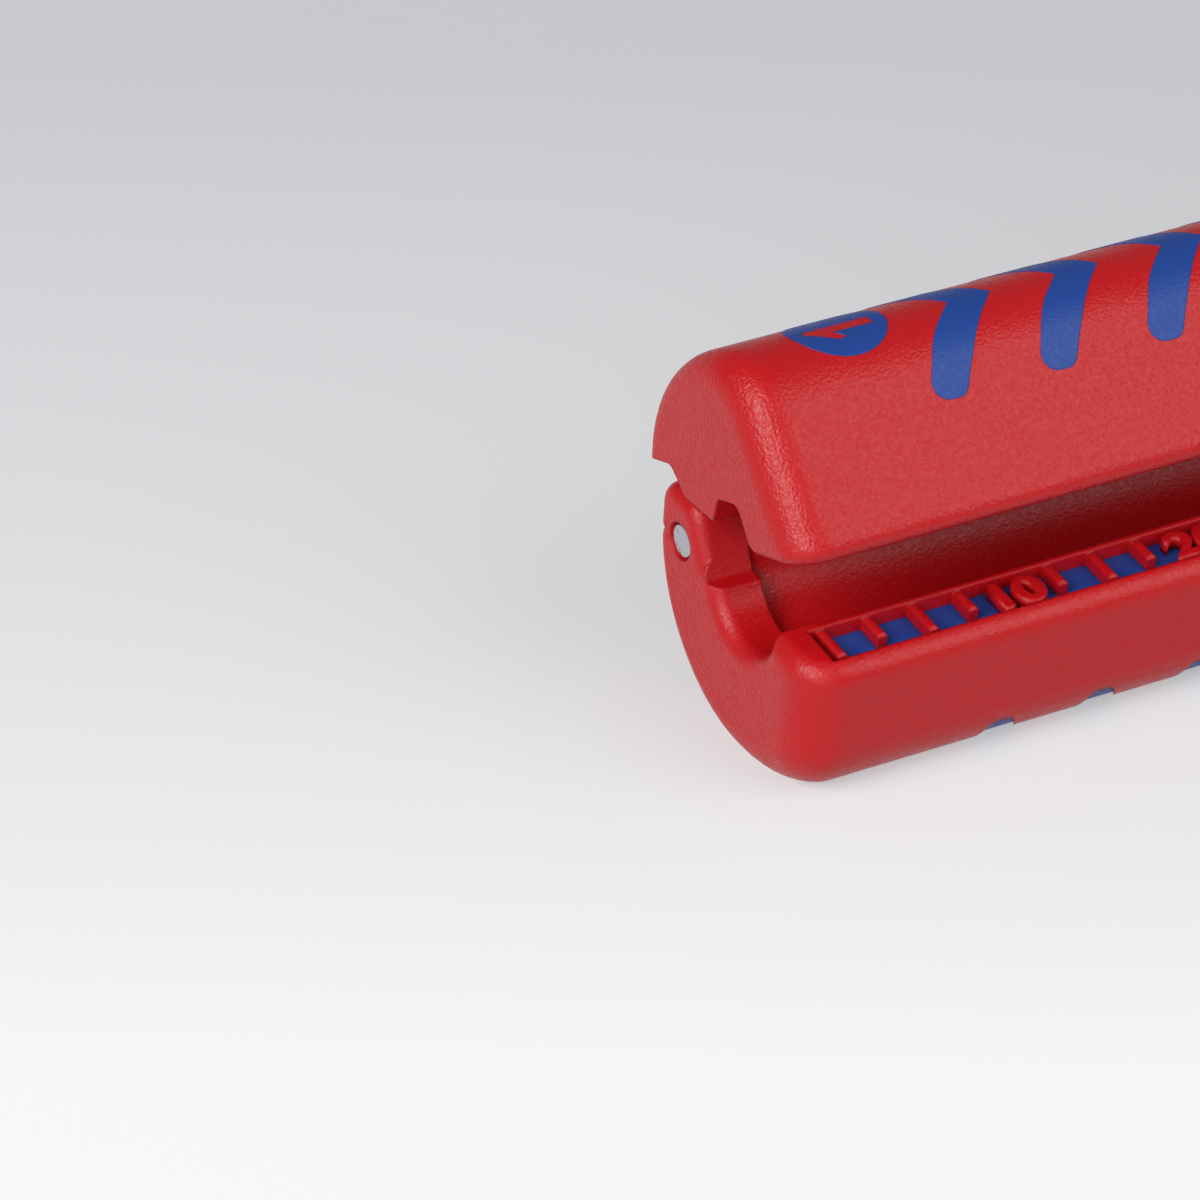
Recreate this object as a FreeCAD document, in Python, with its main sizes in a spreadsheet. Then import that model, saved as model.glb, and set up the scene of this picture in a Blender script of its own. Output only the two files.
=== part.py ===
import FreeCAD, Part
import math
import os
import re
import Sketcher

# Coaxial cable stripper: two moulded half shells on one hinge pin, sprung open.
# X runs along the tool from mouth 1 to mouth 2, Y points back to the hinge, Z points up.
# The origin is in the middle of the narrow flat that the lower shell rests on.
# Everything that the upper shell carries is drawn shut, and swung open about the pin.

SIZES = {
    # whole tool
    "length": 100.0,
    "open_angle": 24.0,
    "cable_y": 0.6,
    "cable_z": 8.1,
    # lower shell
    "belly_radius": 8.8,
    "rest_width": 7.8,
    "front_reach": 6.0,
    "belly_corner": 3.0,
    "ledge_z": 8.0,
    "ledge_round": 1.1,
    "land_z": 7.0,
    "end_round": 0.8,
    "front_end_round": 2.4,
    # cable way in the lower shell
    "saddle_radius": 2.7,
    "saddle_length": 2.6,
    "lead_in": 0.9,
    "channel_y": 1.1,
    "channel_radius": 3.4,
    # hinge
    "pin_y": 6.5,
    "pin_z": 7.7,
    "pin_diameter": 2.0,
    "pin_recess": 0.1,
    "pin_chamfer": 0.2,
    "bore_clearance": 0.1,
    "knuckle_radius": 2.3,
    "hinge_gap": 0.3,
    "end_ear": 7.0,
    "middle_ear": 10.0,
    "ear_top": 10.15,
    "ear_neck": 0.9,
    "ear_foot": 2.6,
    "ear_round": 1.2,
    "spring_bay": 13.4,
    # opening springs
    "wire": 0.8,
    "coil_radius": 1.6,
    "coil_pitch": 1.0,
    "coil_turns": 5.0,
    "leg_length": 2.2,
    "leg_room": 0.25,
    # upper shell
    "parting_gap": 0.2,
    "front_foot": 5.8,
    "front_lean": 22.0,
    "dome_y": 0.3,
    "dome_z": 8.8,
    "dome_radius": 9.0,
    "ridge_round": 4.0,
    "foot_round": 0.7,
    "wall": 2.0,
    "end_wall": 2.6,
    "beam_y": 4.4,
    "ear_roof": 11.6,
    "ear_roof_y": 6.3,
    "ear_wall_y": 5.2,
    "ear_wall_z": 10.15,
    "tooth_y": 2.6,
    "tooth_z": 9.4,
    "notch_top": 10.65,
    "notch_back": 1.75,
    "notch_front": -0.2,
    "notch_foot": -1.1,
    "notch_round": 0.6,
    "rib_width": 1.2,
    "rib_gap": 3.1,
    "guide_radius": 3.6,
    # scale on the ledge
    "slot_start": 1.85,
    "slot_length": 33.6,
    "slot_back": 2.6,
    "slot_width": 2.46,
    "slot_depth": 1.1,
    "strip_thickness": 0.3,
    "mark_start": 2.55,
    "mark_pitch": 2.5,
    "mark_width": 0.5,
    "mark_sink": 0.05,
    "mark_bevel": 0.14,
    "long_mark": 2.15,
    "short_mark": 1.6,
    # blue inlays
    "inlay_recess": 0.15,
    "inlay_depth": 0.75,
    "badge_x": 6.6,
    "badge_y": 0.2,
    "badge_diameter": 5.0,
    "badge_tilt": 10.0,
    "top_tip": 14.7,
    "top_pitch": 6.0,
    "belly_tip": 16.0,
    "belly_pitch": 5.7,
    "chevron_stroke": 2.25,
    "chevron_foot": 2.25,
    "top_lead": 0.45,
    "top_sweep": 3.7,
    "top_front": 3.15,
    "top_back": 4.9,
    "belly_sweep": 4.1,
    "belly_reach": 5.85,
    "chevron_round": 0.65,
    # blades and their holders
    "holder_start": 2.9,
    "holder_length": 8.0,
    "second_holder_length": 14.0,
    "holder_z": 11.6,
    "blade_thickness": 0.6,
    "blade_bevel": 0.9,
    "blade_start": 4.0,
    "blade_step": 8.0,
    "blade_width": 3.4,
    "blade_height": 3.2,
    "blade_shift": 0.8,
    "jacket_edge": 10.4,
    "core_edge": 9.2,
    "screw_head": 2.4,
    "screw_head_height": 0.7,
    "screw_shank": 1.2,
    "screw_cover": 1.8,
    "screw_drive": 0.6,
    "screw_inset": 2.6,
    "screw_setback": 2.1,
}
CHEVRONS = 5
SCALE_MARKS = 13
MARKS_PER_NUMBER = 4
UPPER_RIBS = 5

doc = FreeCAD.newDocument("CoaxStripper")
sheet = doc.addObject("Spreadsheet::Sheet", "Sizes")
for row, (word, number) in enumerate(SIZES.items(), start=1):
    sheet.set("A%d" % row, word)
    sheet.set("B%d" % row, str(number))
    sheet.setAlias("B%d" % row, word)
doc.recompute()

subparts = []


def sized(text):
    """Return an expression in which each named size points at its cell of the sheet."""
    return re.sub(r"[a-z_]{3,}", lambda word: "Sizes." * (word.group() in SIZES) + word.group(), text)


def size(word):
    """Return the number that the sheet holds for one size."""
    return float(sheet.get(word))


def bind(item, **properties):
    """Tie properties of an object to expressions; a double underscore stands for a dot."""
    for name, text in properties.items():
        item.setExpression(name.replace("__", "."), sized(text))
    return item


def place(item, x, y, z):
    """Tie the base point of an object to three expressions."""
    return bind(item, Placement__Base__x=x, Placement__Base__y=y, Placement__Base__z=z)


def block(name, x, y, z, across):
    """A box with its low corner at x, y, z and its three lengths in across."""
    box = doc.addObject("Part::Box", name)
    bind(box, Length=across[0], Width=across[1], Height=across[2])
    return place(box, x, y, z)


def bar(name, x, y, z, length, radius):
    """A round bar along X that starts at x."""
    rod = doc.addObject("Part::Cylinder", name)
    rod.Placement.Rotation = FreeCAD.Rotation(FreeCAD.Vector(0, 1, 0), 90)
    bind(rod, Radius=radius, Height=length)
    return place(rod, x, y, z)


def post(name, x, y, z, height, radius):
    """A round bar along Z that starts at z."""
    rod = doc.addObject("Part::Cylinder", name)
    bind(rod, Radius=radius, Height=height)
    return place(rod, x, y, z)


def join(name, *items):
    union = doc.addObject("Part::MultiFuse", name)
    union.Shapes = list(items)
    union.Refine = True
    return union


def overlap(name, *items):
    shared = doc.addObject("Part::MultiCommon", name)
    shared.Shapes = list(items)
    shared.Refine = True
    return shared


def cut(name, base, tool):
    rest = doc.addObject("Part::Cut", name)
    rest.Base = base
    rest.Tool = tool
    rest.Refine = True
    return rest


def mirror(name, source):
    """The same piece at the other end of the tool."""
    twin = doc.addObject("Part::Mirroring", name)
    twin.Source = source
    twin.Normal = FreeCAD.Vector(1, 0, 0)
    return twin


def both(name, source):
    """A cutter or a boss together with its twin at the other end."""
    return join(name, source, mirror(name + "Twin", source))


def rounded(name, base, radius, wanted):
    """Fillet the edges that wanted picks."""
    doc.recompute()
    fillet = doc.addObject("Part::Fillet", name)
    fillet.Base = base
    picked = [number for number, edge in enumerate(base.Shape.Edges, start=1) if wanted(edge)]
    fillet.Edges = [(number, radius, radius) for number in picked]
    return fillet


def corners(edge):
    return [vertex.Point for vertex in edge.Vertexes]


def runs_along(edge):
    """True for an edge that runs the length of the tool."""
    first, last = corners(edge)[0], corners(edge)[-1]
    return abs(first.x - last.x) > 0.9 * size("length")


def in_end_face(edge):
    """True for an edge that lies in either end face."""
    box = edge.BoundBox
    return box.XLength < 1e-4 and abs(abs(box.Center.x) - size("length") / 2) < 1e-4


def outline(name, points, height):
    """A prism along Z over the polygon whose corners are pairs of expressions."""
    body = doc.addObject("PartDesign::Body", name)
    sketch = body.newObject("Sketcher::SketchObject", name + "Sketch")
    plane = [item for item in body.Origin.OriginFeatures if item.Role == "XY_Plane"][0]
    sketch.AttachmentSupport = [(plane, "")]
    sketch.MapMode = "FlatFace"
    count = len(points)
    start = [FreeCAD.Vector(math.cos(math.tau * i / count), math.sin(math.tau * i / count), 0)
             for i in range(count)]
    for i in range(count):
        sketch.addGeometry(Part.LineSegment(start[i], start[(i + 1) % count]))
    for i in range(count):
        sketch.addConstraint(Sketcher.Constraint("Coincident", i, 2, (i + 1) % count, 1))
    for i, (x, y) in enumerate(points):
        for way, text, guess in (("DistanceX", x, start[i].x), ("DistanceY", y, start[i].y)):
            index = sketch.addConstraint(Sketcher.Constraint(way, -1, 1, i, 1, guess))
            sketch.setExpression("Constraints[%d]" % index, sized(text))
    pad = body.newObject("PartDesign::Pad", name + "Pad")
    pad.Profile = sketch
    bind(pad, Length=height)
    return body


def section(name, x, points, length):
    """A prism along X over the polygon whose corners are pairs of expressions for Y and Z."""
    prism = outline(name, points, length)
    prism.Placement.Rotation = FreeCAD.Rotation(FreeCAD.Vector(1, 1, 1), 120)
    return place(prism, x, "0", "0")


def softened(name, prism, radius, spots):
    """Fillet the long edges of a section that pass through the spots, pairs of named sizes."""
    def at_spot(edge):
        first, last = corners(edge)[0], corners(edge)[-1]
        level = abs(first.y - last.y) + abs(first.z - last.z) < 1e-4
        return level and any(abs(first.y - y) + abs(first.z - z) < 1e-4 for y, z in spots)

    return rounded(name, prism, size(radius), at_spot)


def graded(name, base, wanted):
    """Fillet the edges that wanted picks: tight at the back, widening to the front."""
    doc.recompute()
    tight, wide = size("end_round"), size("front_end_round")
    back, front = size("pin_y"), -size("front_foot")

    def radius(point):
        share = min(max((back - point.y) / (back - front), 0), 1)
        return tight + (wide - tight) * share

    fillet = doc.addObject("Part::Fillet", name)
    fillet.Base = base
    picked = []
    for number, edge in enumerate(base.Shape.Edges, start=1):
        if wanted(edge):
            first, last = edge.valueAt(edge.FirstParameter), edge.valueAt(edge.LastParameter)
            picked.append((number, radius(first), radius(last)))
    fillet.Edges = picked
    return fillet


def swing(item):
    """Turn a piece of the upper shell open about the pin."""
    item.setExpression("Placement", sized(
        "placement(vector(0; 0; 0); rotation(vector(1; 0; 0); -open_angle); vector(0; pin_y; pin_z))"))
    return item


everywhere = block("Everywhere", "-length", "-length", "-length", ("2 * length", "2 * length", "2 * length"))


def copy_of(name, source):
    """The same form once more, to be placed on its own."""
    return overlap(name, source, everywhere)


def keep(item, label):
    """Name a finished piece and put it on the list of pieces."""
    item.Label = label
    subparts.append(item)
    return item


# Lower shell: belly with a narrow flat to rest on, upright front and ledge, three hinge ears.

BACK = "pin_y + knuckle_radius"
BELLY_Z = "sqrt(belly_radius * belly_radius - rest_width * rest_width / 4)"


def moved_in(radius, inset):
    """The radius of a rounded edge on a form that is moved inwards."""
    return size(radius) - (size(inset) if inset in SIZES else 0)


def belly_drum(name, inset):
    """The round belly with its upright front and flat top, moved inwards by inset."""
    drum = bar(name + "Drum", "-length / 2", "0", BELLY_Z, "length", "belly_radius - " + inset)
    trim = block(name + "Trim", "-length / 2", "-front_reach + " + inset, "-belly_radius",
                 ("length", "front_reach + " + BACK, "ledge_z + belly_radius"))
    form = overlap(name + "Sharp", drum, trim)
    low = size("ledge_z") / 2

    def belly_edge(edge):
        point = corners(edge)[0]
        return runs_along(edge) and point.y < -size("front_reach") / 2 and point.z < low

    return rounded(name, form, moved_in("belly_corner", inset), belly_edge)


def on_flat(name, form, inset):
    """Cut the narrow flat that the tool rests on."""
    above = block(name + "Above", "-length", "-length", inset, ("2 * length", "2 * length", "length"))
    return overlap(name, form, above)


def belly_form(name, inset):
    return on_flat(name + "Flat", belly_drum(name, inset), inset)


def ear(name, x, length):
    """A hinge ear: upright at the back, leaning at the front, with a rounded top."""
    blank = section(name + "Blank", x, [
        (BACK, BELLY_Z), (BACK, "ear_top"), ("pin_y - ear_neck", "ear_top"), ("pin_y - ear_foot", "land_z"),
        ("pin_y - ear_foot", "land_z - knuckle_radius / 2")], length)
    back = size("pin_y") + size("knuckle_radius")
    neck = size("pin_y") - size("ear_neck")
    return softened(name, blank, "ear_round", [(back, size("ear_top")), (neck, size("ear_top"))])


belly = belly_form("Belly", "0")


def belly_end(edge):
    """The edge of an end face round the front and the belly."""
    return in_end_face(edge) and edge.BoundBox.Center.z < size("ledge_z") - 0.01


def ledge_rim(edge):
    """The front edge of the ledge and its two ends."""
    box = edge.BoundBox
    flat = box.ZLength < 1e-4 and abs(box.Center.z - size("ledge_z")) < 1e-4
    return flat and box.Center.y < size("pin_y")


belly_soft = graded("BellySoft", belly_drum("Outer", "0"), belly_end)
belly_eased = rounded("BellyEased", belly_soft, size("ledge_round"), ledge_rim)
belly_outer = on_flat("BellyOuter", belly_eased, "0")


def ear_end(edge):
    """The back, the round top and the front of an ear's end face."""
    return in_end_face(edge) and edge.BoundBox.ZMax > size("ledge_z") + size("end_round") / 2


end_ear = rounded("EndEarSoft", ear("EndEar", "-length / 2", "end_ear"), size("end_round"), ear_end)
middle_ear = ear("MiddleEar", "-middle_ear / 2", "middle_ear")
# The land behind the cable way is lower than the ledge, so that the jaw's beam clears it.
# It ends at the leaning front of the ears.
land_cut = section("LandCut", "-length", [
    ("channel_y", "land_z"), ("pin_y - ear_foot", "land_z"), ("pin_y - ear_neck", "ear_top"),
    ("channel_y", "ear_top")], "2 * length")
eared_belly = join("EaredBelly", belly_outer, both("EndEars", end_ear), middle_ear)
lower_outer = cut("LowerOuter", eared_belly, land_cut)

saddle = bar("Saddle", "-length", "cable_y", "cable_z", "2 * length", "saddle_radius")
channel = bar("Channel", "-length / 2 + saddle_length", "channel_y", "cable_z",
              "length - 2 * saddle_length", "channel_radius")
# The mouth widens to the end face over a lip with a round section.
lip = doc.addObject("Part::Torus", "Lip")
lip.Placement.Rotation = FreeCAD.Rotation(FreeCAD.Vector(0, 1, 0), 90)
bind(lip, Radius1="saddle_radius + lead_in", Radius2="lead_in")
place(lip, "-length / 2 + lead_in", "cable_y", "cable_z")
mouth_blank = bar("MouthBlank", "-length / 2", "cable_y", "cable_z", "lead_in", "saddle_radius + lead_in")
mouth = cut("Mouth", mouth_blank, lip)
pocket = bar("KnucklePocket", "-length / 2 + end_ear", "pin_y", "pin_z",
             "length / 2 - end_ear - middle_ear / 2", "knuckle_radius + hinge_gap")
pin_bore = bar("PinBore", "-length", "pin_y", "pin_z", "2 * length", "pin_diameter / 2")

# The knuckles share the room between the ears that the springs leave.
KNUCKLE = "((length / 2 - end_ear - middle_ear / 2 - spring_bay) / 2 - hinge_gap)"
COIL_START = "-length / 2 + end_ear + 2 * hinge_gap + " + KNUCKLE
COIL_LENGTH = "(coil_turns + 0.5) * coil_pitch"
leg_groove = block("LowerLegGroove", COIL_START + " + wire - wire / 2 - leg_room",
                   "pin_y - leg_length - leg_room", "pin_z - coil_radius - wire / 2 - leg_room",
                   ("wire + 2 * leg_room + coil_pitch / 4", "leg_length + leg_room", "2 * coil_radius"))

slot = block("ScaleSlot", "-length / 2 + slot_start", "-slot_back - slot_width", "ledge_z - slot_depth",
             ("slot_length", "slot_width", "2 * slot_depth"))


def bevelled(name, mark):
    """Break the top edges of a mark."""
    doc.recompute()
    top = mark.Shape.BoundBox.ZMax
    bevel = doc.addObject("Part::Chamfer", name)
    bevel.Base = mark
    edges = [number for number, edge in enumerate(mark.Shape.Edges, start=1)
             if all(abs(point.z - top) < 1e-4 for point in corners(edge))]
    bevel.Edges = [(number, size("mark_bevel"), size("mark_bevel")) for number in edges]
    return bevel


def scale_marks():
    """Upright marks in the slot; every fourth place is left free for a number."""
    marks = []
    for i in range(SCALE_MARKS):
        if i and i % MARKS_PER_NUMBER == 0:
            continue
        reach = "short_mark" if i % 2 else "long_mark"
        x = "-length / 2 + mark_start + %d * mark_pitch - mark_width / 2" % i
        mark = block("ScaleMark%d" % i, x, "-slot_back - " + reach, "ledge_z - slot_depth",
                     ("mark_width", reach, "slot_depth - mark_sink"))
        marks.append(bevelled("ScaleMarkBevelled%d" % i, mark))
    return join("ScaleMarks", *marks)


marks = scale_marks()


def chevron(name, x, ridge, sweep, front, back):
    """A prism in the form of a V that points along X, with its rounded legs swept to the mouth."""
    tip = "(" + x + ")"
    points = [(tip, ridge),
              (tip + " - " + sweep, ridge + " + " + back),
              (tip + " - " + sweep + " - chevron_foot", ridge + " + " + back),
              (tip + " - chevron_stroke", ridge),
              (tip + " - " + sweep + " - chevron_foot", ridge + " - " + front),
              (tip + " - " + sweep, ridge + " - " + front)]
    body = outline(name + "Prism", points, "3 * dome_radius")
    doc.recompute()
    ends = size("length")
    low = min(vertex.Point.y for vertex in body.Shape.Vertexes)
    high = max(vertex.Point.y for vertex in body.Shape.Vertexes)

    def leg_end(edge):
        first, last = corners(edge)[0], corners(edge)[-1]
        upright = abs(first.z - last.z) > size("dome_radius")
        return upright and abs(first.x) < ends and (abs(first.y - low) < 1e-4 or abs(first.y - high) < 1e-4)

    return rounded(name, body, size("chevron_round"), leg_end)


belly_prisms = []
for i in range(CHEVRONS):
    x = "-length / 2 + belly_tip + %d * belly_pitch" % i
    prism = chevron("BellyChevron%d" % i, x, "0", "belly_sweep", "belly_reach", "belly_reach")
    belly_prisms.append(prism)
belly_halves = block("BellyHalf", "-length / 2", "-front_reach", "-belly_radius",
                     ("length", "2 * front_reach", "belly_radius + ledge_z / 2"))
belly_floor = belly_form("BellyFloor", "inlay_depth")
belly_face = belly_form("BellyFace", "inlay_recess")
belly_skin = overlap("BellySkin", cut("BellySkinRing", belly, belly_floor), belly_halves)
belly_pockets = overlap("BellyPockets", both("BellyPrisms", join("BellyPrismRow", *belly_prisms)), belly_skin)

lower_cuts = join("LowerCuts", saddle, channel, both("Mouths", mouth), both("KnucklePockets", pocket),
                  pin_bore, both("LowerLegGrooves", leg_groove), both("ScaleSlots", slot), belly_pockets)
lower_shell = join("LowerShell", cut("LowerHollow", lower_outer, lower_cuts), both("AllMarks", marks))
keep(lower_shell, "lower_shell")

# Scale strips: soft blue floors round the marks.

strip_floor = block("StripFloor", "-length / 2 + slot_start", "-slot_back - slot_width",
                    "ledge_z - slot_depth", ("slot_length", "slot_width", "strip_thickness"))
strip = cut("ScaleStrip", strip_floor, marks)
keep(strip, "scale_strip_1")
keep(mirror("ScaleStripTwin", strip), "scale_strip_2")

# Belly chevrons: soft blue inlays that wrap the underside.

belly_layer = cut("BellyLayer", belly_face, belly_floor)
for i, prism in enumerate(belly_prisms):
    inlay = overlap("BellyInlay%d" % i, prism, belly_layer, belly_halves)
    keep(inlay, "belly_chevron_1_%d" % (i + 1))
    keep(mirror("BellyInlayTwin%d" % i, inlay), "belly_chevron_2_%d" % (i + 1))

# Hinge pin: a zinc-plated steel rod, held in the three ears.

pin_rod = bar("PinRod", "-length / 2 + pin_recess", "pin_y", "pin_z",
              "length - 2 * pin_recess", "pin_diameter / 2")
pin = doc.addObject("Part::Chamfer", "HingePin")
pin.Base = pin_rod
doc.recompute()
rims = [number for number, edge in enumerate(pin_rod.Shape.Edges, start=1) if len(edge.Vertexes) == 1]
pin.Edges = [(number, size("pin_chamfer"), size("pin_chamfer")) for number in rims]
keep(pin, "hinge_pin")

# Upper shell: a jaw with a leaning front face, a round back and a hollow for the blades.

SHUT_Z = "ledge_z + parting_gap"


def jaw_form(name, inset):
    """The outer form of the upper shell, moved inwards by inset."""
    drum = bar(name + "Drum", "-length / 2", "dome_y", "dome_z", "length", "dome_radius - " + inset)
    front = doc.addObject("Part::Box", name + "Front")
    bind(front, Length="length", Width="3 * dome_radius", Height="3 * dome_radius")
    lean = "front_lean * 1deg"
    sink = "dome_radius"
    y = "-front_foot + (%s) * cos(%s) - %s * sin(%s)" % (inset, lean, sink, lean)
    z = "ledge_z + parting_gap - (%s) * sin(%s) - %s * cos(%s)" % (inset, lean, sink, lean)
    front.setExpression("Placement", sized(
        "placement(vector(-length / 2; %s; %s); rotation(vector(1; 0; 0); -front_lean))" % (y, z)))
    back = block(name + "Back", "-length / 2", "-2 * dome_radius", SHUT_Z,
                 ("length", "2 * dome_radius + " + BACK + " - " + inset, "2 * dome_radius"))
    form = overlap(name + "Sharp", drum, front, back)

    def ridge(edge):
        point = corners(edge)[0]
        reach = size("dome_radius") / 2
        return runs_along(edge) and point.y < size("dome_y") + reach and point.z > size("dome_z") + reach

    return rounded(name, form, moved_in("ridge_round", inset), ridge)


jaw = jaw_form("Jaw", "0")


def jaw_outer_end(edge):
    return in_end_face(edge) and max(point.z for point in corners(edge)) > size("ledge_z") + 1


jaw_soft = graded("JawSoft", jaw, jaw_outer_end)


def foot_edge(edge):
    """The front lower edge of the jaw and its curved ends."""
    middle = edge.valueAt((edge.FirstParameter + edge.LastParameter) / 2)
    low = abs(middle.z - size("ledge_z") - size("parting_gap")) < 1e-4
    return low and middle.y < -size("front_foot") * 0.6


jaw_outer = rounded("JawOuter", jaw_soft, size("foot_round"), foot_edge)

hollow = jaw_form("Hollow", "wall")
hollow_room = block("HollowRoom", "-length / 2 + end_wall", "-2 * dome_radius", "0",
                    ("length - 2 * end_wall", "2 * dome_radius + beam_y", "3 * dome_radius"))
cavity = overlap("Cavity", hollow, hollow_room)
cable_guide = bar("CableGuide", "-length", "channel_y", "cable_z", "2 * length", "guide_radius")


def jaw_ribs():
    """Cross ribs inside the jaw, each with a half round for the cable."""
    # The outer ribs stand clear of the longer holder, and the others share the room between them.
    reach = "(length / 2 - holder_start - second_holder_length - rib_gap)"
    ribs = []
    for i in range(UPPER_RIBS):
        x = "(%d / %d - 1) * %s - rib_width / 2" % (2 * i, UPPER_RIBS - 1, reach)
        ribs.append(block("JawRib%d" % i, x, "-2 * dome_radius", "0",
                          ("rib_width", "4 * dome_radius", "3 * dome_radius")))
    return cut("JawRibs", overlap("JawRibBlanks", cavity, join("JawRibRow", *ribs)), cable_guide)


def knuckle(name, x):
    """A barrel of the jaw that turns on the pin between two ears."""
    return bar(name, x, "pin_y", "pin_z", KNUCKLE, "knuckle_radius")


outer_knuckle = knuckle("OuterKnuckle", "-length / 2 + end_ear + hinge_gap")
inner_knuckle = knuckle("InnerKnuckle", "-middle_ear / 2 - hinge_gap - " + KNUCKLE)
jaw_bore = bar("JawBore", "-length", "pin_y", "pin_z", "2 * length", "pin_diameter / 2 + bore_clearance")


def ear_pocket(name, x, length):
    """Room in the jaw for an ear, also with the jaw swung open."""
    blank = section(name + "Blank", x, [
        (BACK + " + wall", "0"), (BACK + " + wall", "ear_roof"), ("ear_roof_y", "ear_roof"),
        ("ear_wall_y", "ear_wall_z"), ("tooth_y", "tooth_z"), ("tooth_y", "0")], length)
    return softened(name, blank, "notch_round", [(size("ear_roof_y"), size("ear_roof")),
                                                 (size("ear_wall_y"), size("ear_wall_z"))])


end_pocket = ear_pocket("EndPocket", "-length", "length / 2 + end_ear + hinge_gap")
middle_pocket = ear_pocket("MiddlePocket", "-middle_ear / 2 - hinge_gap", "middle_ear + 2 * hinge_gap")

notch_blank = section("NotchBlank", "-length", [
    ("tooth_y", "0"), ("tooth_y", "tooth_z"), ("notch_back", "notch_top"), ("notch_front", "notch_top"),
    ("notch_foot", "ledge_z + parting_gap"), ("notch_foot", "0")], "length / 2 + end_wall")
notch = softened("Notch", notch_blank, "notch_round", [
    (size("notch_back"), size("notch_top")), (size("notch_front"), size("notch_top"))])

spring_bay = bar("SpringBay", COIL_START + " - hinge_gap", "pin_y", "pin_z", "spring_bay",
                 "knuckle_radius + hinge_gap")
spring_bay_back = block("SpringBayBack", COIL_START + " - hinge_gap", "pin_y", "0",
                        ("spring_bay", "2 * knuckle_radius", "pin_z"))
upper_leg_groove = block("UpperLegGroove",
                         COIL_START + " + wire + " + COIL_LENGTH + " - coil_pitch / 4 - wire / 2 - leg_room",
                         "pin_y - leg_length - leg_room", "0",
                         ("wire + 2 * leg_room + coil_pitch / 2", "leg_length + leg_room",
                          "pin_z + coil_radius + wire / 2 + leg_room"))

# The badge is cut square to the crown of the jaw, which leans to the front.
badge_post = post("BadgePost", "-length / 2 + badge_x", "badge_y + dome_radius * sin(badge_tilt * 1deg)",
                  "dome_z + dome_radius - dome_radius * cos(badge_tilt * 1deg)", "2 * dome_radius",
                  "badge_diameter / 2")
badge_post.Placement.Rotation = FreeCAD.Rotation(FreeCAD.Vector(1, 0, 0), size("badge_tilt"))
top_prisms = []
for i in range(CHEVRONS):
    x = "-length / 2 + top_tip + %d * top_pitch" % i
    top_prisms.append(chevron("TopChevron%d" % i, x, "-top_lead", "top_sweep", "top_front", "top_back"))
top_floor = jaw_form("TopFloor", "inlay_depth")
top_face = jaw_form("TopFace", "inlay_recess")
top_zone = block("TopZone", "-length / 2", "-2 * dome_radius", "dome_z + 1",
                 ("length", "4 * dome_radius", "dome_radius"))
top_skin = overlap("TopSkin", cut("TopSkinRing", jaw, top_floor), top_zone)
top_pockets = overlap("TopPockets", both("TopPrisms", join("TopPrismRow", badge_post, *top_prisms)), top_skin)

jaw_cuts = join("JawCuts", cavity, both("EndPockets", end_pocket), middle_pocket, both("Notches", notch),
                both("SpringBays", spring_bay), both("SpringBayBacks", spring_bay_back),
                both("UpperLegGrooves", upper_leg_groove), top_pockets)
jaw_body = join("JawBody", cut("JawHollow", jaw_outer, jaw_cuts), jaw_ribs(),
                both("OuterKnuckles", outer_knuckle), both("InnerKnuckles", inner_knuckle))

# Blade holders: blocks that fill the roof of the hollow at each end and clamp the blades.


def holder(name, length):
    """A block under the roof of the jaw, from the end wall inwards."""
    room = block(name + "Room", "-length / 2 + holder_start", "-2 * dome_radius", "holder_z",
                 (length, "4 * dome_radius", "3 * dome_radius"))
    return overlap(name + "Blank", cavity, room)


def blade(name, x, edge_z):
    """A steel blade across the cable, ground to an edge from both sides."""
    half = "blade_thickness / 2"
    points = [(x + " - " + half, "-(%s) - blade_height" % edge_z),
              (x + " + " + half, "-(%s) - blade_height" % edge_z),
              (x + " + " + half, "-(%s) - blade_bevel" % edge_z), (x, "-(%s)" % edge_z),
              (x + " - " + half, "-(%s) - blade_bevel" % edge_z)]
    plate = outline(name, points, "blade_width")
    plate.Placement.Rotation = FreeCAD.Rotation(FreeCAD.Vector(1, 0, 0), -90)
    return place(plate, "0", "cable_y + blade_shift - blade_width / 2", "0")


def screw(name, x):
    """A small pan head screw up into the roof of the jaw, with a slot to turn it."""
    head = post(name + "Head", x, "cable_y", "holder_z - screw_head_height", "screw_head_height",
                "screw_head / 2")
    shank = post(name + "Shank", x, "cable_y", "holder_z", "dome_z + dome_radius - screw_cover - holder_z",
                 "screw_shank / 2")
    drive = block(name + "Drive", x + " - screw_drive / 2", "cable_y - screw_head",
                  "holder_z - screw_head_height", ("screw_drive", "2 * screw_head", "screw_head_height / 2"))
    return cut(name, join(name + "Blank", head, shank), drive)


FIRST_BLADE = "-length / 2 + blade_start"
jacket_blade = blade("JacketBlade", FIRST_BLADE, "jacket_edge")
core_blade = blade("CoreBlade", FIRST_BLADE + " + blade_step", "core_edge")
first_screw = screw("FirstScrew", "-length / 2 + holder_start + holder_length - screw_inset")
second_screw = screw("SecondScrew", FIRST_BLADE + " + blade_step - screw_setback")

first_holder = cut("FirstHolder", holder("FirstHolder", "holder_length"),
                   join("FirstHolderCuts", jacket_blade, first_screw))
second_holder = cut("SecondHolder", holder("SecondHolder", "second_holder_length"),
                    join("SecondHolderCuts", jacket_blade, core_blade, second_screw))
screw_holes = join("ScrewHoles", first_screw, mirror("SecondScrewHole", second_screw), jaw_bore)
upper_shell = cut("UpperShell", jaw_body, screw_holes)

keep(swing(upper_shell), "upper_shell")
keep(swing(first_holder), "blade_holder_1")
keep(swing(mirror("SecondHolderPlaced", second_holder)), "blade_holder_2")

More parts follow.
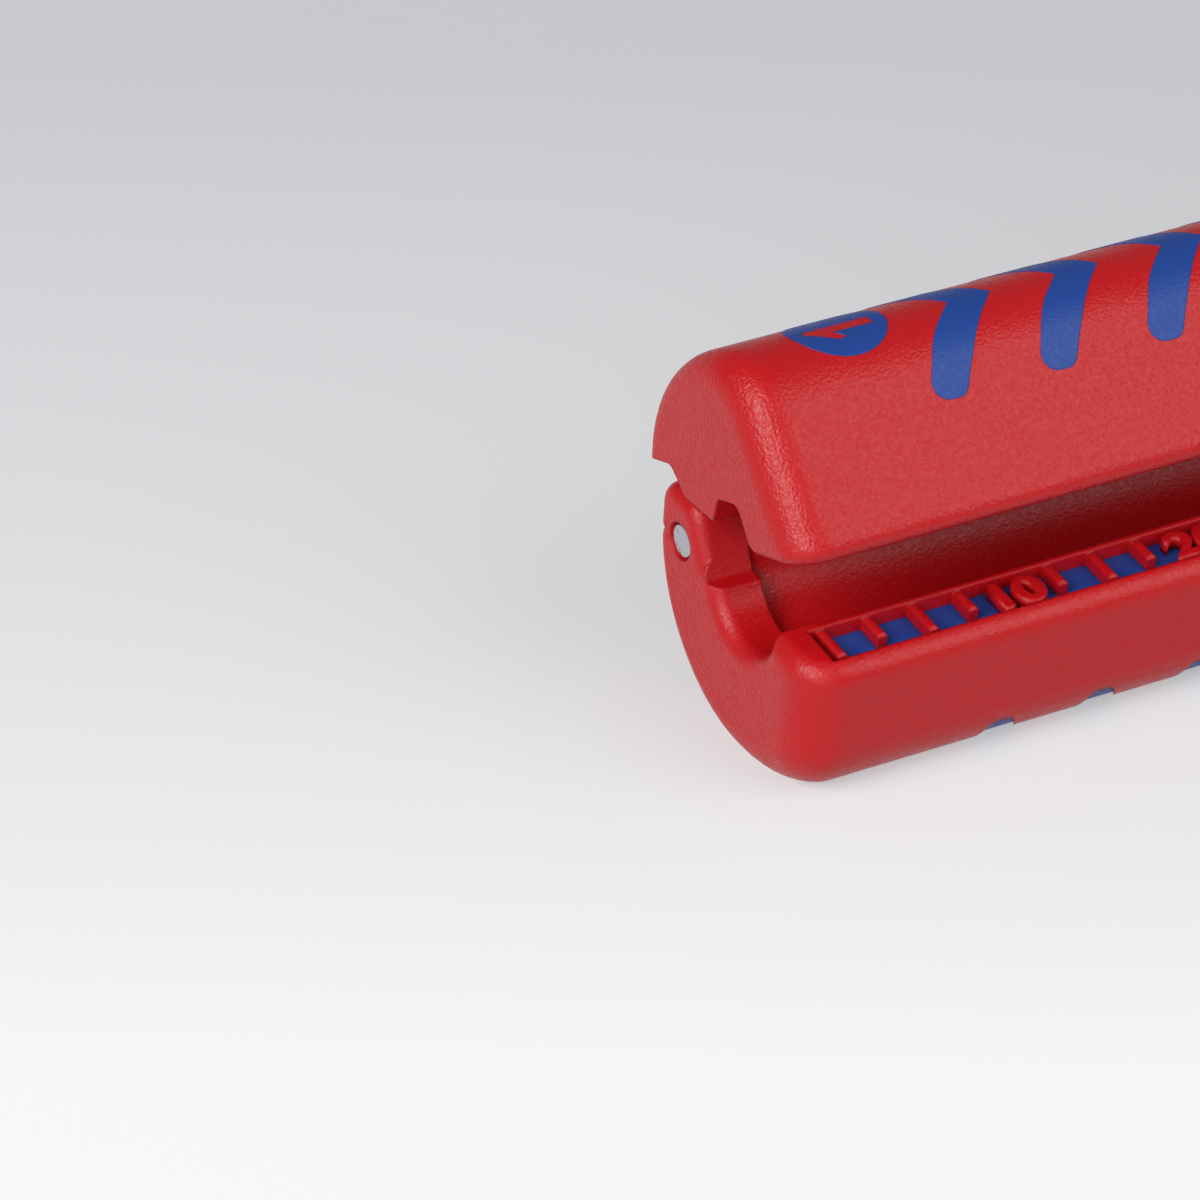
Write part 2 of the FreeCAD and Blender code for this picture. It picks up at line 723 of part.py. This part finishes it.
keep(swing(copy_of("JacketBladeOne", jacket_blade)), "jacket_blade_1")
keep(swing(mirror("JacketBladeTwo", jacket_blade)), "jacket_blade_2")
keep(swing(mirror("CoreBladeTwo", core_blade)), "core_blade_2")
keep(swing(copy_of("FirstScrewPlaced", first_screw)), "holder_screw_1")
keep(swing(mirror("SecondScrewPlaced", second_screw)), "holder_screw_2")

# Top inlays: soft blue badge and chevrons at each end.

top_layer = overlap("TopLayer", cut("TopLayerRing", top_face, top_floor), top_zone)
badge = overlap("Badge", badge_post, top_layer)
keep(swing(copy_of("BadgeOne", badge)), "top_badge_1")
keep(swing(mirror("BadgeTwin", badge)), "top_badge_2")
for i, prism in enumerate(top_prisms):
    inlay = overlap("TopInlay%d" % i, prism, top_layer)
    keep(swing(copy_of("TopInlayOne%d" % i, inlay)), "top_chevron_1_%d" % (i + 1))
    keep(swing(mirror("TopInlayTwin%d" % i, inlay)), "top_chevron_2_%d" % (i + 1))

# Opening springs: torsion springs round the pin, one leg in each shell.


def spring_shape():
    """Sweep the wire along a leg, the coil and the other leg, with the jaw open."""
    radius, pitch, wire = size("coil_radius"), size("coil_pitch"), size("wire")
    leg = size("leg_length")
    turned = (size("coil_turns") + 0.5) * 360 - size("open_angle")
    start_x = coil_marker.Placement.Base.x + wire
    helix = Part.makeHelix(pitch, pitch * turned / 360, radius)
    # local X, Y and Z of the helix become Y, Z and X of the tool
    across = FreeCAD.Matrix(0, 0, 1, 0, 1, 0, 0, 0, 0, 1, 0, 0, 0, 0, 0, 1)
    coil = helix.transformGeometry(across)
    coil.rotate(FreeCAD.Vector(0, 0, 0), FreeCAD.Vector(1, 0, 0), -90)
    coil.translate(FreeCAD.Vector(start_x, size("pin_y"), size("pin_z")))
    edge = coil.Edges[0]
    first, last = edge.valueAt(edge.FirstParameter), edge.valueAt(edge.LastParameter)
    if first.x > last.x:
        first, last = last, first
    slope = pitch / (2 * math.pi)

    def along(angle):
        turn = math.radians(angle)
        way = FreeCAD.Vector(slope, -radius * math.sin(turn), radius * math.cos(turn))
        return way.normalize()

    lead = along(-90)
    tail = along(-90 + turned)
    foot = first - lead * leg
    tip = last + tail * leg
    path = Part.Wire([Part.makeLine(foot, first)] + coil.Edges + [Part.makeLine(last, tip)])
    profile = Part.Wire(Part.makeCircle(wire / 2, foot, lead))
    sweep = Part.BRepOffsetAPI.MakePipeShell(path)
    sweep.setFrenetMode(True)
    sweep.add(profile)
    sweep.build()
    sweep.makeSolid()
    return sweep.shape()


coil_marker = bar("CoilMarker", COIL_START, "pin_y", "pin_z", COIL_LENGTH, "coil_radius")
doc.recompute()
spring = doc.addObject("Part::Feature", "OpeningSpring")
spring.Shape = spring_shape()
keep(spring, "opening_spring_1")
keep(mirror("OpeningSpringTwin", spring), "opening_spring_2")

doc.recompute()
failed = [item.Label for item in doc.Objects if "Invalid" in item.State or "Error" in item.State]
if failed:
    raise RuntimeError("These objects failed: " + ", ".join(failed))
for item in subparts:
    if item.Shape.isNull() or not item.Shape.isValid():
        raise RuntimeError("%s has no valid shape" % item.Label)

os.makedirs("parts", exist_ok=True)
for item in subparts:
    item.Shape.exportStep("parts/%s.step" % item.Label)
    print("%-20s solids %d  volume %8.2f" % (item.Label, len(item.Shape.Solids), item.Shape.Volume))
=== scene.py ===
import math

import bmesh
import bpy
from mathutils import Matrix, Vector


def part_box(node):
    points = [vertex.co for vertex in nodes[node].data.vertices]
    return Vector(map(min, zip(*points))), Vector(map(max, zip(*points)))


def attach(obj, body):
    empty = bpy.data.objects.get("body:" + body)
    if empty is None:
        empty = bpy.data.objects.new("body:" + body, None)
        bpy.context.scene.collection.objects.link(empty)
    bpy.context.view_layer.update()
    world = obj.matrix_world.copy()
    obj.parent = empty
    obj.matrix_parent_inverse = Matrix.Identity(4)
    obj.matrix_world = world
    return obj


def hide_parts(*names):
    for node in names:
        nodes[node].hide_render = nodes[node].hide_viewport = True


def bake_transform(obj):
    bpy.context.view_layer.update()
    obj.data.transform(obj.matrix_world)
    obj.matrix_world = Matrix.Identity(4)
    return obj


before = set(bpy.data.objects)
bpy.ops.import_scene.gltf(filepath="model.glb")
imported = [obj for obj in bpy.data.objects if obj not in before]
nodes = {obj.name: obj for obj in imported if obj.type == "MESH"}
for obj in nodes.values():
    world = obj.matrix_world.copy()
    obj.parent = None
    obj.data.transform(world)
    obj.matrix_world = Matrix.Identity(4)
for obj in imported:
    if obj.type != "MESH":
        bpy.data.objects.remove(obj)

MM = 0.001


def write_size():
    """Bring the placements of everything in the scene up to date."""
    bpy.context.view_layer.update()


write_size()

# Shells: two halves injection moulded in red glass-filled nylon. The steel mould was
# spark eroded, so the skin is satin with a fine grain that breaks up the highlights.


def from_hex(code):
    """An sRGB hex colour as linear red, green, blue and full alpha."""
    parts = [int(code[i:i + 2], 16) / 255 for i in (0, 2, 4)]
    linear = [c / 12.92 if c <= 0.04045 else ((c + 0.055) / 1.055) ** 2.4 for c in parts]
    return (*linear, 1.0)


def add_node(tree, kind, inputs=None, **settings):
    """Add a shader node; inputs gives a value or another node's socket for each named input."""
    node = tree.nodes.new("ShaderNode" + kind)
    for name, value in settings.items():
        setattr(node, name, value)
    for name, value in (inputs or {}).items():
        if isinstance(value, bpy.types.NodeSocket):
            tree.links.new(value, node.inputs[name])
        else:
            node.inputs[name].default_value = value
    return node


def new_material(name):
    """An empty material with its output node."""
    material = bpy.data.materials.new(name)
    material.use_nodes = True
    material.node_tree.nodes.clear()
    output = add_node(material.node_tree, "OutputMaterial")
    return material, material.node_tree, output


def finish_node(name, material):
    """Give a CAD node its finish."""
    mesh = nodes[name].data
    mesh.materials.clear()
    mesh.materials.append(material)


def grained(name, colour, grain_mm, depth_mm, roughness, specular, edge_mm):
    """A moulded plastic with the spark-eroded grain of its mould and softly broken edges."""
    material, tree, output = new_material(name)
    place = add_node(tree, "TexCoord").outputs["Object"]
    # round pits, with a slightly coarser cloud over them that also makes the sheen uneven
    pits = add_node(tree, "TexVoronoi", {"Vector": place, "Scale": 1 / (grain_mm * MM)}, feature="F1")
    cloud = add_node(tree, "TexNoise", {"Vector": place, "Scale": 0.8 / (grain_mm * MM), "Detail": 2.0})
    height = add_node(tree, "Math", {0: cloud.outputs["Fac"], 1: 0.8, 2: pits.outputs["Distance"]},
                      operation="MULTIPLY_ADD")
    edge = add_node(tree, "Bevel", {"Radius": edge_mm * MM}, samples=6)
    bump = add_node(tree, "Bump", {"Height": height.outputs["Value"], "Distance": depth_mm * MM,
                                   "Strength": 1.0, "Normal": edge.outputs["Normal"]})
    uneven = add_node(tree, "MapRange", {"Value": cloud.outputs["Fac"], "From Min": 0.3, "From Max": 0.7,
                                         "To Min": roughness - 0.12, "To Max": roughness + 0.08})
    skin = add_node(tree, "BsdfPrincipled", {
        "Base Color": from_hex(colour), "Roughness": uneven.outputs["Result"], "IOR": 1.5,
        "Specular IOR Level": specular, "Normal": bump.outputs["Normal"]})
    tree.links.new(skin.outputs["BSDF"], output.inputs["Surface"])
    return material


# Nylon from a spark-eroded mould is satin: its soft highlights break up into fine sparkles.
# Such a grain is usually about 0.08 mm and is drawn at 0.17 mm, because it wouldn't show otherwise.
RED = "C00D15"
red_nylon = grained("Red moulded glass-filled nylon", RED, grain_mm=0.17, depth_mm=0.028,
                    roughness=0.40, specular=0.42, edge_mm=0.22)
finish_node("upper_shell", red_nylon)

# The grain of the lower shell stands out less in the photograph, and its front shines more evenly.
smoother_red = grained("Red moulded nylon with a shallower grain", RED, grain_mm=0.17, depth_mm=0.015,
                       roughness=0.42, specular=0.42, edge_mm=0.22)
finish_node("lower_shell", smoother_red)

# Inlays: soft blue thermoplastic elastomer, moulded into pockets of the shells. Underneath
# they lie 0.15 mm below the skin, and those on the crown, made further on, level with it.

# The elastomer is matt and even, with a finer grain than the red, so that the blue looks flat
# and soft beside the satin shells.
blue_elastomer = grained("Blue moulded elastomer", "1B4496", grain_mm=0.14, depth_mm=0.010,
                         roughness=0.48, specular=0.4, edge_mm=0.12)
for name in nodes:
    if name.startswith(("scale_strip", "belly_chevron", "top_chevron", "top_badge")):
        finish_node(name, blue_elastomer)


def add_piece(name, mesh, material, body):
    """Show a new mesh as a piece of the object."""
    mesh.materials.clear()
    mesh.materials.append(material)
    piece = bpy.data.objects.new(name, mesh)
    bpy.context.scene.collection.objects.link(piece)
    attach(piece, body)
    return piece


# Top chevrons: the blue inlays across the crown of the jaw, with full rounded legs. They
# are laid out flat, as the skin of the jaw would unroll, and then bent over the crown.

# the tool's half length and the jaw's outline, in millimetres and with the jaw shut
HALF_LENGTH = 50.0
PIN = Vector((0, 6.5, 7.7))
OPEN_ANGLE = math.radians(24)
FRONT_LEAN = math.radians(22)
FRONT_FOOT = Vector((-5.8, 8.2))
DOME_MIDDLE, DOME_RADIUS = Vector((0.3, 8.8)), 9.0
CROWN_RADIUS = 4.0
FRONT_WAY = Vector((math.sin(FRONT_LEAN), math.cos(FRONT_LEAN)))
FRONT_OUT = Vector((-math.cos(FRONT_LEAN), math.sin(FRONT_LEAN)))
# the crown is rounded about a point as far from the front face as from the dome
inner_foot = FRONT_FOOT - CROWN_RADIUS * FRONT_OUT - DOME_MIDDLE
run = inner_foot.dot(FRONT_WAY)
reach = math.sqrt(run ** 2 - inner_foot.length_squared + (DOME_RADIUS - CROWN_RADIUS) ** 2) - run
CROWN_MIDDLE = inner_foot + DOME_MIDDLE + reach * FRONT_WAY
# the chevrons' tips stand a little in front of the middle of the tool
RIDGE_LEAD = 0.45
RIDGE_ANGLE = math.asin((CROWN_MIDDLE.x + RIDGE_LEAD) / CROWN_RADIUS)
FRONT_ANGLE = math.pi / 2 - FRONT_LEAN
back_way = (CROWN_MIDDLE - DOME_MIDDLE).normalized()
BACK_ANGLE = -math.atan2(back_way.x, back_way.y)


def bent_over_crown(point):
    """Lay a flat point on the open jaw: x along it, y forward from the ridge, z outward."""
    angle = RIDGE_ANGLE + point.y / CROWN_RADIUS
    middle, radius, beyond = CROWN_MIDDLE, CROWN_RADIUS, 0.0
    if angle > FRONT_ANGLE:
        beyond = (angle - FRONT_ANGLE) * CROWN_RADIUS
        angle = FRONT_ANGLE
    elif angle < BACK_ANGLE:
        angle = BACK_ANGLE + (angle - BACK_ANGLE) * CROWN_RADIUS / DOME_RADIUS
        middle, radius = DOME_MIDDLE, DOME_RADIUS
    out = Vector((-math.sin(angle), math.cos(angle)))
    spot = middle + (radius + point.z) * out - beyond * FRONT_WAY
    shut = Vector((point.x, spot.x, spot.y))
    return (PIN + Matrix.Rotation(-OPEN_ANGLE, 3, "X") @ (shut - PIN)) * MM


# a flat sheet is cut into strips so narrow that it follows the bend of the crown
STRIP_WIDTH = 0.26
STRIPS = 20


def thick_and_bent(name, sheet, depth, proud):
    """Thicken a flat sheet from depth below the skin to proud of it and bend it over the crown."""
    bmesh.ops.translate(sheet, verts=sheet.verts, vec=(0, 0, -depth))
    thick = bmesh.ops.extrude_face_region(sheet, geom=sheet.faces[:])
    moved = [item for item in thick["geom"] if isinstance(item, bmesh.types.BMVert)]
    bmesh.ops.translate(sheet, verts=moved, vec=(0, 0, depth + proud))
    for step in range(-STRIPS, STRIPS + 1):
        whole = sheet.verts[:] + sheet.edges[:] + sheet.faces[:]
        bmesh.ops.bisect_plane(sheet, geom=whole, dist=1e-5, plane_co=(0, step * STRIP_WIDTH, 0),
                               plane_no=(0, 1, 0))
    for vertex in sheet.verts:
        vertex.co = bent_over_crown(vertex.co)
    bmesh.ops.recalc_face_normals(sheet, faces=sheet.faces)
    mesh = bpy.data.meshes.new(name)
    sheet.to_mesh(mesh)
    sheet.free()
    mesh.shade_smooth()
    mesh.set_sharp_from_angle(angle=math.radians(35))
    return mesh


# one chevron laid flat: its corners from the tip on, and how far some of them are rounded
CHEVRON_CORNERS = [Vector(corner) for corner in (
    (0.04, 0.0), (-1.65, 1.75), (-2.6, 3.15), (-3.6, 5.1), (-5.45, 5.1), (-5.15, 3.9),
    (-4.3, 1.95), (-2.32, 0.0), (-6.05, -5.2), (-3.7, -5.2))]
CHEVRON_ROUNDING = ((1, 0.9), (2, 0.9), (3, 0.35), (4, 1.1), (5, 0.9), (6, 0.9), (8, 0.5), (9, 0.5))


def chevron_mesh(name, tip, side, margin, depth, proud):
    """One chevron, wider all round by margin; side is -1 at mouth 1 and 1 at mouth 2."""
    sheet = bmesh.new()
    rim = []
    for number, corner in enumerate(CHEVRON_CORNERS):
        come = (corner - CHEVRON_CORNERS[number - 1]).normalized()
        go = (CHEVRON_CORNERS[(number + 1) % len(CHEVRON_CORNERS)] - corner).normalized()
        out = Vector((come.y + go.y, -come.x - go.x)) / (1 + come.dot(go))
        spot = corner + margin * out
        rim.append(sheet.verts.new((side * (HALF_LENGTH - tip - spot.x), spot.y, 0)))
    sheet.faces.new(rim)
    for number, radius in CHEVRON_ROUNDING:
        bmesh.ops.bevel(sheet, geom=[rim[number]], offset=radius, offset_type="OFFSET", segments=6,
                        profile=0.5, material=-1, affect="VERTICES")
    return thick_and_bent(name, sheet, depth, proud)


# A thin red ground round each inlay fills what is left of its pocket in the shell. Its edges
# aren't broken, so that it runs into the shell unseen.
plain_red = grained("Red moulded nylon round the inlays", RED, grain_mm=0.17, depth_mm=0.028,
                    roughness=0.40, specular=0.42, edge_mm=0.0)
FIRST_TIP, CHEVRON_PITCH, CHEVRONS = 14.7, 6.0, 5
CHEVRON_DEPTH, CHEVRON_PROUD = 0.35, 0.03
GROUND_MARGIN, GROUND_DEPTH, GROUND_PROUD = 0.45, 0.3, 0.004
for end, side in ((1, -1), (2, 1)):
    for i in range(CHEVRONS):
        tip = FIRST_TIP + i * CHEVRON_PITCH
        ground = chevron_mesh("ground", tip, side, GROUND_MARGIN, GROUND_DEPTH, GROUND_PROUD)
        add_piece("chevron_ground_%d_%d" % (end, i + 1), ground, plain_red, "upper")
        name = "crown_chevron_%d_%d" % (end, i + 1)
        mesh = chevron_mesh(name, tip, side, 0.0, CHEVRON_DEPTH, CHEVRON_PROUD)
        inlay = add_piece(name, mesh, blue_elastomer, "upper")
        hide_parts("top_chevron_%d_%d" % (end, i + 1))

# Scale numbers: 10, 20 and 30 in red relief on the blue strip, part of the lower shell's
# moulding. They stand upright for someone who looks at the ledge from the front.


def solid_text(name, words, height, thickness, weight, stretch):
    """Upright letters of a given height as a closed mesh, centred on the origin."""
    letters = bpy.data.curves.new(name, "FONT")
    letters.body = words
    letters.align_x = "CENTER"
    letters.align_y = "CENTER"
    letters.size = height
    letters.extrude = thickness / 2
    letters.offset = weight
    written = bpy.data.objects.new(name, letters)
    bpy.context.scene.collection.objects.link(written)
    shaped = written.evaluated_get(bpy.context.evaluated_depsgraph_get())
    mesh = bpy.data.meshes.new_from_object(shaped)
    bpy.data.objects.remove(written)
    joined = bmesh.new()
    joined.from_mesh(mesh)
    bmesh.ops.remove_doubles(joined, verts=joined.verts, dist=0.002 * MM)
    xs = [vertex.co.x for vertex in joined.verts]
    ys = [vertex.co.y for vertex in joined.verts]
    middle = Vector(((min(xs) + max(xs)) / 2, (min(ys) + max(ys)) / 2, 0))
    bmesh.ops.translate(joined, verts=joined.verts, vec=-middle)
    fit = height / (max(ys) - min(ys))
    bmesh.ops.scale(joined, verts=joined.verts, vec=(fit * stretch, fit, 1))
    joined.to_mesh(mesh)
    joined.free()
    return mesh


# a number takes the place of every fourth mark, a little off its middle
MARK_START = 2.55 * MM
MARK_PITCH = 2.5 * MM
MARKS_PER_NUMBER = 4
NUMBER_HEIGHT = 2.0 * MM
NUMBER_RELIEF = 0.75 * MM
NUMBER_WEIGHT = 0.07 * MM
NUMBER_STRETCH = 1.2
NUMBER_SHIFT = 0.25 * MM
strip_low, strip_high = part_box("scale_strip_1")
for end, side in ((1, -1), (2, 1)):
    for count in (1, 2, 3):
        name = "scale_number_%d_%d" % (end, count)
        mesh = solid_text(name, str(10 * count), NUMBER_HEIGHT, NUMBER_RELIEF, NUMBER_WEIGHT,
                          NUMBER_STRETCH)
        along = HALF_LENGTH * MM - MARK_START - count * MARKS_PER_NUMBER * MARK_PITCH - NUMBER_SHIFT
        middle = (strip_low[1] + strip_high[1]) / 2
        mesh.transform(Matrix.Translation((side * along, middle, strip_high[2] + NUMBER_RELIEF / 2)))
        add_piece(name, mesh, smoother_red, "lower")

# Badges: a blue elastomer disc at each end, moulded round the mouth's number, in whose
# opening the red shell shows. The head of both numbers points to mouth 1.


def opened(name, mesh, tool):
    """A closed mesh with an opening in the form of another."""
    base = bpy.data.objects.new(name, mesh)
    cutter = bpy.data.objects.new(name + "_tool", tool)
    for item in (base, cutter):
        bpy.context.scene.collection.objects.link(item)
    change = base.modifiers.new("Opening", "BOOLEAN")
    change.object = cutter
    change.operation = "DIFFERENCE"
    change.solver = "EXACT"
    shaped = base.evaluated_get(bpy.context.evaluated_depsgraph_get())
    result = bpy.data.meshes.new_from_object(shaped)
    bpy.data.objects.remove(base)
    bpy.data.objects.remove(cutter)
    return result


# the figures go right through the disc
FIGURE_DEPTH = 4 * MM
FIGURE_ONE = ((-0.65, -1.75), (0.1, -1.75), (0.1, 1.75), (-0.3, 1.85), (-1.3, 0.4), (-1.15, 0.0),
              (-0.65, 0.45))
TWO_HEIGHT, TWO_WEIGHT, TWO_STRETCH = 3.3 * MM, 0.05 * MM, 1.3


def figure_one():
    """The figure 1 with the long flag that the badge has, as a closed mesh."""
    flat = bmesh.new()
    flat.faces.new([flat.verts.new((x * MM, y * MM, -FIGURE_DEPTH / 2)) for x, y in FIGURE_ONE])
    thick = bmesh.ops.extrude_face_region(flat, geom=flat.faces[:])
    moved = [item for item in thick["geom"] if isinstance(item, bmesh.types.BMVert)]
    bmesh.ops.translate(flat, verts=moved, vec=(0, 0, FIGURE_DEPTH))
    bmesh.ops.recalc_face_normals(flat, faces=flat.faces)
    mesh = bpy.data.meshes.new("figure")
    flat.to_mesh(mesh)
    flat.free()
    return mesh


def round_sheet(name, side, middle, radius, depth, proud):
    """A round piece of skin, bent over the crown."""
    sheet = bmesh.new()
    bmesh.ops.create_circle(sheet, cap_ends=True, segments=72, radius=radius)
    bmesh.ops.translate(sheet, verts=sheet.verts, vec=(side * (HALF_LENGTH - middle.x), middle.y, 0))
    return thick_and_bent(name, sheet, depth, proud)


BADGE_MIDDLE, BADGE_RADIUS = Vector((6.6, -0.65)), 2.5
BADGE_DEPTH, BADGE_PROUD = 0.2, 0.035
GROUND_MIDDLE, GROUND_RADIUS = Vector((6.6, -0.48)), 2.78
# the badge's middle leans back with the open jaw
BADGE_LEAN = RIDGE_ANGLE + BADGE_MIDDLE.y / CROWN_RADIUS - OPEN_ANGLE
for end, side in ((1, -1), (2, 1)):
    ground = round_sheet("ground", side, GROUND_MIDDLE, GROUND_RADIUS, GROUND_DEPTH, GROUND_PROUD)
    add_piece("badge_ground_%d" % end, ground, plain_red, "upper")
    figure = figure_one()
    if end == 2:
        figure = solid_text("figure", "2", TWO_HEIGHT, FIGURE_DEPTH, TWO_WEIGHT, TWO_STRETCH)
    turn = Matrix.Rotation(math.radians(90), 4, "Z")
    spot = bent_over_crown(Vector((side * (HALF_LENGTH - BADGE_MIDDLE.x), BADGE_MIDDLE.y, 0)))
    figure.transform(Matrix.Translation(spot) @ Matrix.Rotation(BADGE_LEAN, 4, "X") @ turn)
    blue = round_sheet("disc", side, BADGE_MIDDLE, BADGE_RADIUS, BADGE_DEPTH, BADGE_PROUD)
    blue = opened("badge_disc", blue, figure)
    disc = add_piece("badge_disc_%d" % end, blue, blue_elastomer, "upper")
    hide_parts("top_badge_%d" % end)

# Hinge pin: a length of drawn steel rod with chamfered ends, barrel plated with bright
# zinc. The ears of the lower shell hold it, and the jaw's knuckles turn on it.


DENT_DEPTH = 0.08 * MM


def plated(name, colour, roughness, wear_mm):
    """A bright plated or ground steel with faint uneven wear."""
    material, tree, output = new_material(name)
    place = add_node(tree, "TexCoord").outputs["Object"]
    wear = add_node(tree, "TexNoise", {"Vector": place, "Scale": 1 / (wear_mm * MM), "Detail": 4.0})
    spread = add_node(tree, "MapRange", {"Value": wear.outputs["Fac"], "To Min": roughness - 0.08,
                                         "To Max": roughness + 0.12})
    dents = add_node(tree, "Bump", {"Height": wear.outputs["Fac"], "Distance": DENT_DEPTH, "Strength": 1.0})
    metal = add_node(tree, "BsdfPrincipled", {
        "Base Color": from_hex(colour), "Metallic": 1.0, "Roughness": spread.outputs["Result"],
        "Normal": dents.outputs["Normal"]})
    tree.links.new(metal.outputs["BSDF"], output.inputs["Surface"])
    return material


# Barrel plating leaves the zinc bright, but knocked and faintly cloudy, so its glints waver.
zinc_steel = plated("Bright zinc-plated steel rod", "C9CBD0", roughness=0.22, wear_mm=0.5)
finish_node("hinge_pin", zinc_steel)

# Blades and screws: blades of hardened steel, ground to an edge from both sides, and the
# small zinc-plated pan head screws that hold the blade holders up in the jaw.

# Ground steel is bright, with a fine grey haze that the grinding wheel leaves.
ground_steel = plated("Ground blade steel", "C4C6C8", roughness=0.22, wear_mm=0.3)
for name in ("jacket_blade_1", "jacket_blade_2", "core_blade_2"):
    finish_node(name, ground_steel)
for name in ("holder_screw_1", "holder_screw_2"):
    finish_node(name, zinc_steel)

# Springs: torsion springs of drawn steel wire round the pin. On the tool the outer leg stays with
# the lower shell and the inner one turns with the jaw, so the coil winds up between them. Here each
# coil is a smoothed copy of its part, shown as it stands.

# Drawn wire is greyer and duller than the plated pin, with soft glints along each turn.
spring_wire = plated("Drawn spring steel wire", "A9ABAD", roughness=0.32, wear_mm=0.4)
for end, side in ((1, -1), (2, 1)):
    node = "opening_spring_%d" % end
    mesh = nodes[node].data.copy()
    joined = bmesh.new()
    joined.from_mesh(mesh)
    bmesh.ops.remove_doubles(joined, verts=joined.verts, dist=0.001 * MM)
    joined.to_mesh(mesh)
    joined.free()
    mesh.shade_smooth()
    mesh.set_sharp_from_angle(angle=math.radians(50))
    mesh.materials.clear()
    mesh.materials.append(spring_wire)
    coil = bpy.data.objects.new("coil_spring_%d" % end, mesh)
    bpy.context.scene.collection.objects.link(coil)
    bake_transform(coil)
    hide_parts(node)

# Blade holders: blocks moulded in black glass-filled nylon. They fill the roof of the
# hollow at each end, clamp the blades in their slots and hang from one screw each.

# Black nylon is dull and even, so that the bright blades stand out from it.
dark_nylon = grained("Black moulded nylon", "1C1D1F", grain_mm=0.20, depth_mm=0.010,
                     roughness=0.5, specular=0.4, edge_mm=0.15)
finish_node("blade_holder_1", dark_nylon)
finish_node("blade_holder_2", dark_nylon)

# Studio: a pale floor that grows lighter towards the front, and three soft boxes. The floor
# throws back less light than it shows, so that the underside is as dark as in the photograph.

FLOOR_REACH = 3.0
floor_mesh = bpy.data.meshes.new("Floor")
level = bmesh.new()
bmesh.ops.create_grid(level, x_segments=1, y_segments=1, size=FLOOR_REACH)
level.to_mesh(floor_mesh)
level.free()
floor = bpy.data.objects.new("Floor", floor_mesh)
bpy.context.scene.collection.objects.link(floor)
pale_board, tree, output = new_material("Pale matt board")
place = add_node(tree, "TexCoord").outputs["Object"]
# x of the turned coordinates runs from the near edge of the picture to the far one
across = add_node(tree, "Mapping", {"Vector": place, "Location": (0.52, 0.0, 0.0),
                                    "Rotation": (0.0, 0.0, math.radians(-65.7)),
                                    "Scale": (10.0, 10.0, 10.0)})
sweep = add_node(tree, "SeparateXYZ", {"Vector": across.outputs["Vector"]})
# painted fall-off of light: the floor's colour is painted lighter towards the front and greyer towards the
# back
painted_falloff = add_node(tree, "ValToRGB", {"Fac": sweep.outputs["X"]})
stops = painted_falloff.color_ramp.elements
stops[0].position, stops[0].color = 0.08, from_hex("FFFFFF")
stops[1].position, stops[1].color = 0.95, from_hex("D4D5D8")
for position, colour in ((0.25, "F3F4F5"), (0.5, "E6E7E9")):
    stop = stops.new(position)
    stop.color = from_hex(colour)
# half of what shows takes no shadow, so the tool's shadow is faint: the photograph shows none
lit = add_node(tree, "BsdfDiffuse", {"Color": painted_falloff.outputs["Color"]})
bright = add_node(tree, "Emission", {"Color": painted_falloff.outputs["Color"], "Strength": 0.93})
shown = add_node(tree, "MixShader", {"Fac": 0.5, 1: lit.outputs["BSDF"], 2: bright.outputs["Emission"]})
unseen = add_node(tree, "BsdfDiffuse", {"Color": from_hex("B4B5B7")})
ray = add_node(tree, "LightPath")
mirrored = add_node(tree, "Math", {0: ray.outputs["Is Glossy Ray"], 1: ray.outputs["Is Transmission Ray"]},
                    operation="MAXIMUM")
seen = add_node(tree, "Math", {0: ray.outputs["Is Camera Ray"], 1: mirrored.outputs["Value"]},
                operation="MAXIMUM")
board = add_node(tree, "MixShader", {"Fac": seen.outputs["Value"], 1: unseen.outputs["BSDF"],
                                     2: shown.outputs["Shader"]})
tree.links.new(board.outputs["Shader"], output.inputs["Surface"])
floor_mesh.materials.append(pale_board)


LAMP_AIM = Vector((-0.02, 0.0, 0.01))
LAMP_DISTANCE = 0.7


def soft_box(name, direction, width, power):
    """A square soft box that faces the near half of the tool from a direction."""
    lamp = bpy.data.lights.new(name, "AREA")
    lamp.size = width
    lamp.energy = power
    box = bpy.data.objects.new(name, lamp)
    bpy.context.scene.collection.objects.link(box)
    way = Vector(direction).normalized()
    box.location = LAMP_AIM + LAMP_DISTANCE * way
    box.rotation_euler = way.to_track_quat("Z", "Y").to_euler()


soft_box("Key soft box", (-0.76, -0.22, 0.61), width=0.40, power=3.3)
soft_box("Front soft box", (0.46, -0.56, 0.69), width=0.55, power=2.1)
soft_box("Left fill", (-0.70, -0.65, 0.18), width=0.60, power=1.4)
world = bpy.data.worlds.new("Studio air")
bpy.context.scene.world = world
world.use_nodes = True
air = world.node_tree.nodes["Background"]
air.inputs["Color"].default_value = from_hex("E6E8EB")
air.inputs["Strength"].default_value = 0.24

# Camera: a long lens to the front left of mouth 1 and above it, rolled a little. Its place
# and turn were worked out from where the ledge's marks and the pin stand in the photograph.

camera_data = bpy.data.cameras.new("Camera")
camera_data.lens = 166.05
camera_data.sensor_width = 36.0
camera_data.clip_start = 10 * MM
camera = bpy.data.objects.new("Camera", camera_data)
bpy.context.scene.collection.objects.link(camera)
right = Vector((0.8824, -0.4681, 0.0479))
up = Vector((0.2474, 0.5481, 0.7990))
turn = Matrix((right, up, right.cross(up))).transposed()
stand = Vector((-160.33, -177.25, 164.41)) * MM
camera.matrix_world = Matrix.Translation(stand) @ turn.to_4x4()
bpy.context.scene.camera = camera
bpy.context.scene.view_settings.view_transform = "Standard"

write_size()
